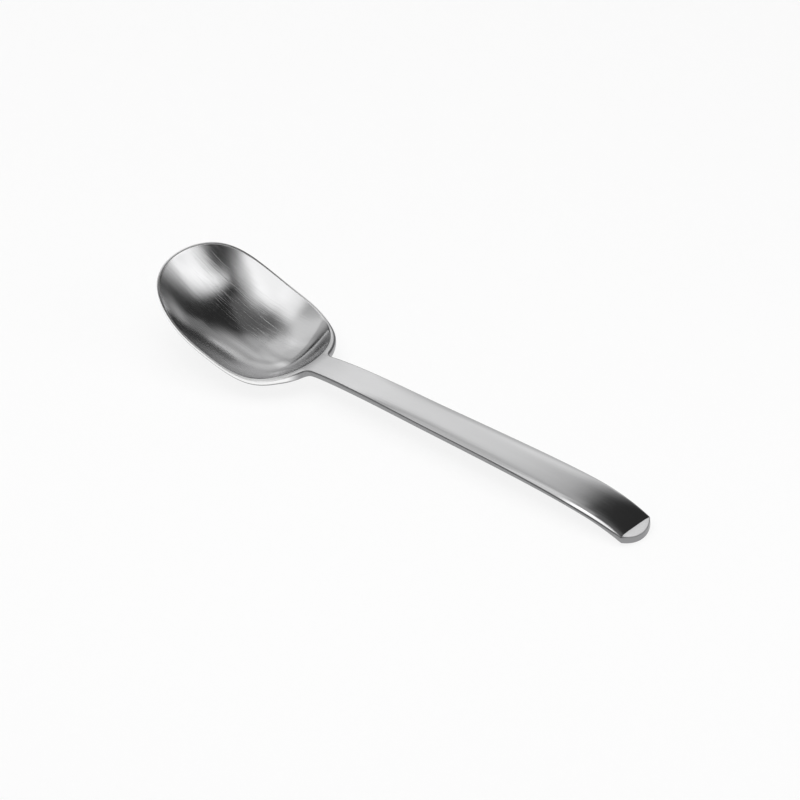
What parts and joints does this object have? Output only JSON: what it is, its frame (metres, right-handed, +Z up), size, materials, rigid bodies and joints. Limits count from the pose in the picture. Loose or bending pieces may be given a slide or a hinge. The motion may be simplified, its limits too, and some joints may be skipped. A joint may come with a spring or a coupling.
{
  "type": "dinner spoon",
  "caption": "One-piece brushed steel dinner spoon with a deep rounded bowl raised at its tip and a flat tapered handle curving down to a bevelled end.",
  "frame": {"origin": "on the table, below the middle of the spoon's length and width", "axes": "+X towards the end of the handle, the bowl is at -X; +Y across the spoon; +Z up, out of the bowl"},
  "size_m": [0.2, 0.0448, 0.026],
  "materials": {
    "brushed_steel": "satin, brushed lengthwise"
  },
  "bodies": {
    "root": {"spoon": "brushed_steel"}
  },
  "joints": []
}
